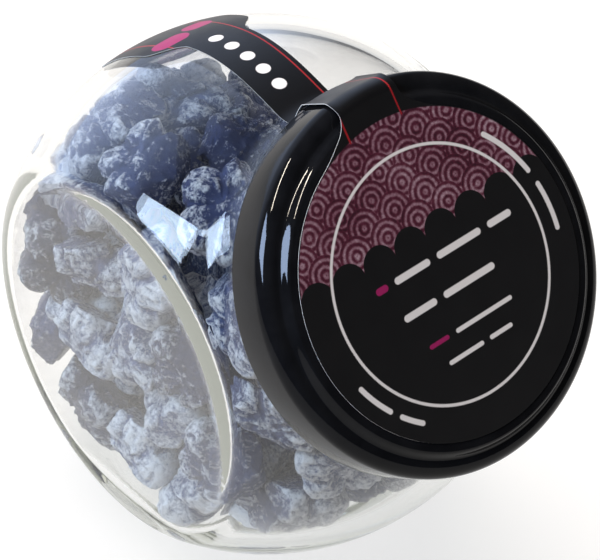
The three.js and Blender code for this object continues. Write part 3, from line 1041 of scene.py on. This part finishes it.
def lacquer_finish():
    """Gloss black lacquer with a faint orange-peel and a few dull rubs."""
    finish, tree, shader = new_finish("black_lacquer")
    rubs = grain(tree, scale=160, detail=6)
    tone = ramp(tree, rubs, (0.35, LACQUER_BLACK), (0.75, RUBBED_BLACK))
    rough = spread_over(tree, rubs, low=0.02, high=0.07)
    fill_inputs(tree, shader, {"Base Color": tone, "Specular IOR Level": 0.13, "Roughness": rough})
    emboss(tree, shader, strength=0.02, distance=0.0004, height=grain(tree, scale=1400, detail=2))
    return finish


lid.data.materials.append(lacquer_finish())

# %% [markdown]
# ## Violet sugar
# Boiled sugar is dark and glassy, and rubbed sugar lies on it as white frost. A picture of frost could
# be wrapped round the candy, but every copy would then look the same. Instead the frost is noise in the
# object's own measure, added to two values that the meshes carry: how much frost the shape holds at
# each point, and the tone of each candy. Where the sum is high, the frost covers the sugar and dulls
# it.
# The candies behind and the core carry a raised tone, and that raise is painted light. It stands in for
# light that shines through the sugar into the shaded depth of the heap.

# %% Violet sugar
INDIGO = (0.008, 0.011, 0.032)
VIOLET = (0.026, 0.037, 0.102)
SLATE = (0.095, 0.12, 0.225)
FROST_WHITE = (0.66, 0.67, 0.71, 1)
FROST_FROM = 1.38
FROST_FULL = 1.68
FROST_COVER = 0.95


def sugar_finish():
    """Boiled sugar: deep indigo in some candies and slate blue in others, with white frost on ridges and in
    patches. The raised tone of the candies behind and of the core is painted light."""
    finish, tree, shader = new_finish("violet_sugar")
    frost = add_node(tree, "ShaderNodeAttribute", {}, attribute_name="frost").outputs["Fac"]
    tone = add_node(tree, "ShaderNodeAttribute", {}, attribute_name="tone").outputs["Fac"]
    cloud = grain(tree, scale=170, detail=5, roughness=0.65)
    body = weigh(tree, (tone, 0.6), (cloud, 0.5))
    deep = ramp(tree, body, (0.2, INDIGO), (0.5, VIOLET), (0.85, SLATE))
    speckle = grain(tree, scale=1500, detail=6, roughness=0.8)
    patch = grain(tree, scale=300, detail=6, roughness=0.72, swirl=1.3)
    dust = weigh(tree, (speckle, 1.2), (patch, 0.9), (frost, 0.45), (tone, 0.3))
    inputs = {"Value": dust, "From Min": FROST_FROM, "From Max": FROST_FULL, "To Max": FROST_COVER}
    cover = add_node(tree, "ShaderNodeMapRange", inputs).outputs[0]
    colour = blend(tree, cover, deep, FROST_WHITE)
    rough = spread_over(tree, cover, low=0.25, high=0.75)
    fill_inputs(tree, shader, {"Base Color": colour, "Specular IOR Level": 0.4, "Roughness": rough})
    crust = weigh(tree, (speckle, 0.5), (patch, 1.4))
    emboss(tree, shader, strength=0.7, distance=0.0008, height=crust)
    return finish


sugar = sugar_finish()
for piece in (crisp, worn, hidden, core):
    piece.data.materials.append(sugar)

# %% [markdown]
# ## The print on the seal
# The label is printed flat. A picture could be laid on it, but colours that are worked out from the
# paper's own UV map stay sharp however near the camera comes. One unit of that map is a hundred
# millimetres of paper. A distance from the middle of the disc gives the ring, and a height along the
# label gives its fields. The print is plain: a field of old-fashioned scallops over a black ground, a
# ring, bars, dots and red edge lines. Each shape is a mask, nought or one at every point of the paper,
# and the masks lay one colour over another like printing plates.

# %% Shapes to print with
PRINT_SOFT = 0.0008


def below(tree, value, edge, soft=PRINT_SOFT):
    """One under an edge and nought over it."""
    inputs = {"Value": value, "From Min": edge + soft, "From Max": edge - soft}
    return add_node(tree, "ShaderNodeMapRange", inputs).outputs[0]


def band(tree, value, low, high, soft=PRINT_SOFT):
    """One between two values and nought outside them."""
    return calc(tree, "SUBTRACT", below(tree, value, high, soft), below(tree, value, low, soft))


def bars(tree, along_bar, across_bar, rows):
    """Rows of plain bars with round ends, all in one mask. A row is its place, half its width and its
    spans."""
    mask = None
    for middle, half, spans in rows:
        aside = calc(tree, "POWER", calc(tree, "SUBTRACT", across_bar, middle), 2)
        for left, right in spans:
            off = calc(tree, "ABSOLUTE", calc(tree, "SUBTRACT", along_bar, (left + right) / 2))
            beyond = calc(tree, "MAXIMUM", calc(tree, "SUBTRACT", off, (right - left) / 2 - half), 0)
            away = calc(tree, "SQRT", calc(tree, "ADD", calc(tree, "POWER", beyond, 2), aside))
            bar = below(tree, away, half)
            mask = bar if mask is None else calc(tree, "MAXIMUM", mask, bar)
    return mask

# %% A field of scallops
MAROON = (0.030, 0.004, 0.011)
WINE = (0.085, 0.011, 0.029)
MAUVE = (0.24, 0.13, 0.17)
PALE_MAUVE = (0.46, 0.36, 0.41)
SCALLOP = 0.066
SCALLOP_RINGS = 3.0
FIELD_FOOT = 0.085


def scallop_field(tree, place, across, along):
    """The colour of rows of scallops, each lapped over the row above, and the mask of the rows above a
    height."""
    half = SCALLOP / 2
    row = calc(tree, "FLOOR", calc(tree, "DIVIDE", along, half))
    reach = []
    for step in (0, 1):
        this_row = calc(tree, "ADD", row, step)
        shift = calc(tree, "MULTIPLY", calc(tree, "MODULO", calc(tree, "ABSOLUTE", this_row), 2), half)
        turn = calc(tree, "FLOORED_MODULO", calc(tree, "ADD", across, shift), SCALLOP)
        aside = calc(tree, "SUBTRACT", turn, half)
        rise = calc(tree, "SUBTRACT", along, calc(tree, "MULTIPLY", this_row, half))
        square = calc(tree, "ADD", calc(tree, "POWER", aside, 2), calc(tree, "POWER", rise, 2))
        reach.append(calc(tree, "SQRT", square))
    front = calc(tree, "LESS_THAN", reach[0], half)
    away = add_node(tree, "ShaderNodeMix", {0: front, 2: reach[1], 3: reach[0]}).outputs[0]
    ripple = calc(tree, "SINE", calc(tree, "MULTIPLY", away, 2 * math.pi * SCALLOP_RINGS / half))
    frost = {"Vector": place, "Scale": 110.0, "Detail": 6.0, "Roughness": 0.8}
    speck = add_node(tree, "ShaderNodeTexNoise", frost).outputs["Fac"]
    clouds = {"Vector": place, "Scale": 9.0, "Detail": 3.0}
    cloud = add_node(tree, "ShaderNodeTexNoise", clouds).outputs["Fac"]
    tone = weigh(tree, (ripple, 0.14), (speck, 0.8), (cloud, 0.5))
    colour = ramp(tree, tone, (0.42, MAROON), (0.60, WINE), (0.78, MAUVE), (0.98, PALE_MAUVE))
    stand = calc(tree, "SUBTRACT", calc(tree, "ADD", row, 1), front)
    return colour, calc(tree, "GREATER_THAN", calc(tree, "MULTIPLY", stand, half), FIELD_FOOT)

# %% Printed paper
INK = (0.0035, 0.0032, 0.0035, 1)
WHITE_INK = (0.72, 0.70, 0.71, 1)
MAGENTA = (0.30, 0.010, 0.10, 1)
RED = (0.28, 0.009, 0.013, 1)
WHITE_BARS = [
    (0.030, 0.0060, [(-0.088, -0.012), (0.004, 0.100), (0.116, 0.168)]),
    (-0.032, 0.0060, [(-0.100, -0.030), (-0.014, 0.098)]),
    (-0.094, 0.0038, [(-0.020, 0.104)]),
    (-0.134, 0.0038, [(-0.056, 0.020), (0.034, 0.084)]),
]
MAGENTA_BARS = [(0.030, 0.0060, [(-0.128, -0.103)]), (-0.094, 0.0038, [(-0.078, -0.036)])]
ROUND_BARS = [(0.243, 0.0045, [(-0.04, 0.05), (0.07, 0.185), (-0.675, -0.60), (-0.585, -0.535)])]
DOT_RADIUS = 0.013
DOT_MIDDLES = [0.585 + 0.046 * i for i in range(5)]
STRIP_DOTS = [(0.0, DOT_RADIUS, [(middle - DOT_RADIUS, middle + DOT_RADIUS) for middle in DOT_MIDDLES])]
PAD_PETALS = [(0.848, 0.022, [(-0.075, -0.005)]), (0.868, 0.020, [(0.0, 0.058)])]
EDGE_LINES = [(0.0495, 0.0525), (-0.0600, -0.0565)]
LINE_SOFT = 0.0004
PRINTED_DISC = 0.2715
PRINTED_RING = (0.2095, 0.2145)
PRINTED_STRIP = (0.262, 2.0)
PAPER_GREY = (0.62, 0.61, 0.60)
PAPER_WHITE = (0.80, 0.79, 0.78)


def label_colour(tree):
    """The label's inks, one plate over another."""
    place = add_node(tree, "ShaderNodeUVMap", {}).outputs[0]
    split = add_node(tree, "ShaderNodeSeparateXYZ", {0: place}).outputs
    across, along = split[0], split[1]
    away = add_node(tree, "ShaderNodeVectorMath", {0: place}, operation="LENGTH").outputs["Value"]
    round_disc = calc(tree, "MULTIPLY", calc(tree, "ARCTAN2", along, across), ROUND_BARS[0][0])
    scallops, field = scallop_field(tree, place, across, along)
    on_disc = below(tree, away, PRINTED_DISC)
    colour = blend(tree, calc(tree, "MULTIPLY", field, on_disc), INK, scallops)
    on_strip = band(tree, along, *PRINTED_STRIP)
    for left, right in EDGE_LINES:
        line = calc(tree, "MULTIPLY", on_strip, band(tree, across, left, right, LINE_SOFT))
        colour = blend(tree, line, colour, RED)
    colour = blend(tree, band(tree, away, *PRINTED_RING), colour, WHITE_INK)
    colour = blend(tree, bars(tree, across, along, WHITE_BARS), colour, WHITE_INK)
    colour = blend(tree, bars(tree, round_disc, away, ROUND_BARS), colour, WHITE_INK)
    colour = blend(tree, bars(tree, along, across, STRIP_DOTS), colour, WHITE_INK)
    colour = blend(tree, bars(tree, across, along, MAGENTA_BARS), colour, MAGENTA)
    return blend(tree, bars(tree, across, along, PAD_PETALS), colour, MAGENTA)


def paper_finish():
    """Satin label stock with ink, fine paper tooth and slight scuffs."""
    finish, tree, shader = new_finish("printed_paper")
    inks = label_colour(tree)
    rough = spread_over(tree, grain(tree, scale=220, detail=5), low=0.34, high=0.5)
    fill_inputs(tree, shader, {"Base Color": inks, "Specular IOR Level": 0.3, "Roughness": rough})
    emboss(tree, shader, strength=0.04, distance=0.0002, height=grain(tree, scale=2500, detail=3))
    return finish


def cut_edge_finish():
    """The white core of the paper where it is cut."""
    finish, tree, shader = new_finish("paper_edge")
    fibre = ramp(tree, grain(tree, scale=3000, detail=3), (0.3, PAPER_GREY), (0.7, PAPER_WHITE))
    fill_inputs(tree, shader, {"Base Color": fibre, "Roughness": 0.8})
    return finish


seal.data.materials[0] = paper_finish()
seal.data.materials[1] = cut_edge_finish()

# %% [markdown]
# ## The studio
# The jar stands on a pale floor that glows a little, like a photographer's light table, so that the glass
# is lit from below and the floor stays white. Glass shows what is around it, so the surroundings are
# bright low down behind the jar, and dark overhead and in front, which keeps the lid black and the
# candies deep. A wide soft lamp overhead lights the jar. It is left out of reflections, as a photographer
# flags a lamp off, so that it lays no veil over the glass. A cool window gives the bright patch on the
# glass. The lid has a window and a warm tube of its own, so that each highlight can be laid where it
# belongs, and a fill lamp lifts the candies' far side.

# %% Floor
FLOOR_SIZE = 6
leave_all()
bpy.ops.mesh.primitive_plane_add(size=FLOOR_SIZE)
floor = bpy.context.object
floor.name = "floor"
floor_finish, floor_tree, floor_shader = new_finish("pale_floor")
matte = {"Base Color": (0.3, 0.3, 0.3, 1), "Roughness": 0.6, "Specular IOR Level": 0.0}
glowing = {"Emission Color": (1, 1, 1, 1), "Emission Strength": 0.75}
fill_inputs(floor_tree, floor_shader, {**matte, **glowing})
floor.data.materials.append(floor_finish)

# %% Surroundings
BRIGHT_SIDE = (0.0, 0.95, 0.3)
DARK_SKY = (0.08, 0.085, 0.1)
MIDDLE_SKY = (0.3, 0.34, 0.42)
BRIGHT_SKY = (0.95, 1.12, 1.5)


def surround():
    """A dark sky with one soft bright patch."""
    world = bpy.data.worlds.new("studio")
    bpy.context.scene.world = world
    world.use_nodes = True
    tree = world.node_tree
    toward = add_node(tree, "ShaderNodeTexCoord", {}).outputs["Generated"]
    inputs = {0: toward, 1: Vector(BRIGHT_SIDE).normalized()}
    dot = add_node(tree, "ShaderNodeVectorMath", inputs, operation="DOT_PRODUCT").outputs["Value"]
    share = add_node(tree, "ShaderNodeMapRange", {"Value": dot, "From Min": -1.0}).outputs[0]
    level = ramp(tree, share, (0.81, DARK_SKY), (0.86, MIDDLE_SKY), (0.94, BRIGHT_SKY))
    backdrop = tree.nodes["Background"]
    fill_inputs(tree, backdrop, {"Color": level, "Strength": 1.0})
    print("surroundings: bright toward", BRIGHT_SIDE)


surround()

# %% Lamps
def softbox(name, toward, distance, size, power, colour, along=None):
    """A rectangular lamp that faces the jar, so far away in a direction from the ball's centre. Its long
    side lies level, or along a given direction."""
    leave_all()
    toward = Vector(toward).normalized()
    along = Vector(along) if along else Vector((0, 0, 1)).cross(toward)
    side = (along - toward * toward.dot(along)).normalized()
    bpy.ops.object.light_add(type="AREA", location=Vector(CENTRE) + toward * distance)
    lamp = bpy.context.object
    lamp.name = name
    lamp.data.shape = "RECTANGLE"
    lamp.data.size, lamp.data.size_y = size
    lamp.data.energy = power
    lamp.data.color = colour
    lamp.rotation_euler = Matrix((side, toward.cross(side), toward)).transposed().to_euler()
    print("lamp:", name, power, "W")
    return lamp


OVERHEAD = (0.1, 0.3, 0.95)
WINDOW = (-0.723, 0.191, 0.663)
WINDOW_ALONG = (-0.05, -0.98, 0.2)
LID_WINDOW = (-0.75, 0.02, 0.66)
TUBE = (-0.35, 0.05, 0.93)
TUBE_ALONG = (-0.55, -0.82, -0.14)
FILL = (0.93, -0.1, 0.35)
WARM = (1, 0.89, 0.77)
WARM_TUBE = (1, 0.9, 0.76)
COOL = (0.62, 0.78, 1)
COOLER = (0.52, 0.68, 1)
NEARLY_WHITE = (1, 0.97, 0.92)
overhead = softbox("overhead", OVERHEAD, distance=1.2, size=(1.4, 1.4), power=25, colour=WARM)
overhead.visible_glossy = False
overhead.visible_transmission = False
window = softbox("window_light", WINDOW, distance=0.8, size=(0.42, 0.26), power=4.1, colour=COOL,
                 along=WINDOW_ALONG)
lid_window = softbox("lid_window_light", LID_WINDOW, distance=0.8, size=(0.46, 0.28), power=20,
                     colour=COOLER, along=WINDOW_ALONG)
tube = softbox("tube_light", TUBE, distance=0.9, size=(0.42, 0.05), power=11, colour=WARM_TUBE,
               along=TUBE_ALONG)
fill = softbox("fill_light", FILL, distance=1, size=(0.8, 0.8), power=6, colour=NEARLY_WHITE)

# %% Which lamp lights what
def light_only(lamps, pieces):
    """Links lamps to some pieces, so that they light and show in those alone."""
    lit = bpy.data.collections.new("lit_by_" + lamps[0].name)
    for piece in pieces:
        lit.objects.link(piece)
    for lamp in lamps:
        lamp.light_linking.receiver_collection = lit
    print([lamp.name for lamp in lamps], "light only", [piece.name for piece in pieces])


candies = [crisp, worn, hidden, core]
light_only([tube, lid_window], [lid])
light_only([window], [glass, seal, *candies])
light_only([fill], candies)

# %% [markdown]
# ## The camera
# The photograph's own angle was worked out from the lid's ellipse, its printed ring and the ball's round
# outline. The camera is given by its place from the ball's centre and by the direction it looks back
# along.

# %% Camera
CAMERA_FROM_CENTRE = Vector((-275.3, -351.94, 353.68)) * MM
CAMERA_BACK = Vector((-0.49174, -0.61161, 0.61978))
LENS_MM = 194.43
SENSOR_MM = 36
BOUNCES = 48
leave_all()
bpy.ops.object.camera_add(location=Vector(CENTRE) + CAMERA_FROM_CENTRE)
camera = bpy.context.object
camera.data.sensor_width = SENSOR_MM
camera.data.lens = LENS_MM
camera.data.clip_end = 20
camera.rotation_euler = (-CAMERA_BACK).to_track_quat("-Z", "Y").to_euler()
scene = bpy.context.scene
scene.camera = camera
scene.view_settings.view_transform = "Standard"
scene.cycles.use_denoising = True
scene.cycles.max_bounces = BOUNCES
scene.cycles.glossy_bounces = BOUNCES
scene.cycles.transmission_bounces = BOUNCES
print("camera at", [round(v, 3) for v in camera.location])
